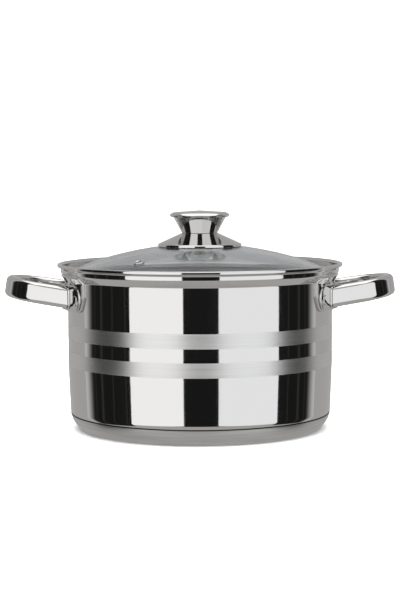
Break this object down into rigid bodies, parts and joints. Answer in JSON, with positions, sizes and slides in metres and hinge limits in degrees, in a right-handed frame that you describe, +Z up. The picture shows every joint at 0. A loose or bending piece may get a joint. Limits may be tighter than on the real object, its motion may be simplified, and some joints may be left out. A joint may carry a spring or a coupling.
{
  "type": "casserole pot with lid",
  "caption": "Polished steel casserole with brushed bands, flared lip, tilted tubular loop handles, thick capsule base and a domed glass lid with steel band, steam vent and trumpet-shaped knob.",
  "frame": {"origin": "centre of the flat underside of the base", "axes": "+Z up along the pot's axis; the two handles lie along +X and -X; the vent is towards -X and -Y"},
  "size_m": [0.355, 0.259, 0.197],
  "materials": {
    "polished_steel": "mirror polished stainless steel, with two brushed bands round the wall",
    "satin_steel": "satin turned stainless steel",
    "aluminium_core": "plain rolled",
    "lid_glass": "clear tempered",
    "silicone": "matt silicone"
  },
  "bodies": {
    "pot": {"pot_shell": "polished_steel", "base_core": "aluminium_core", "base_capsule": "satin_steel", "left_handle_loop": "polished_steel", "left_handle_bracket": "polished_steel", "left_handle_collars": "polished_steel", "right_handle_loop": "polished_steel", "right_handle_bracket": "polished_steel", "right_handle_collars": "polished_steel", "left_handle_pads": "polished_steel", "right_handle_pads": "polished_steel"},
    "lid": {"lid_glass": "lid_glass", "lid_rim_band": "polished_steel", "vent_eyelet": "polished_steel", "knob_flange": "polished_steel", "knob_cone": "polished_steel", "knob_cap": "polished_steel", "knob_insert": "satin_steel", "knob_gasket_upper": "silicone", "knob_gasket_lower": "silicone", "knob_washer": "satin_steel", "knob_screw": "satin_steel"}
  },
  "joints": [
    {"name": "lid_lift", "type": "slide", "parent": "pot", "child": "lid", "axis": [0, 0, 1], "range_m": [0, 0.08]}
  ]
}
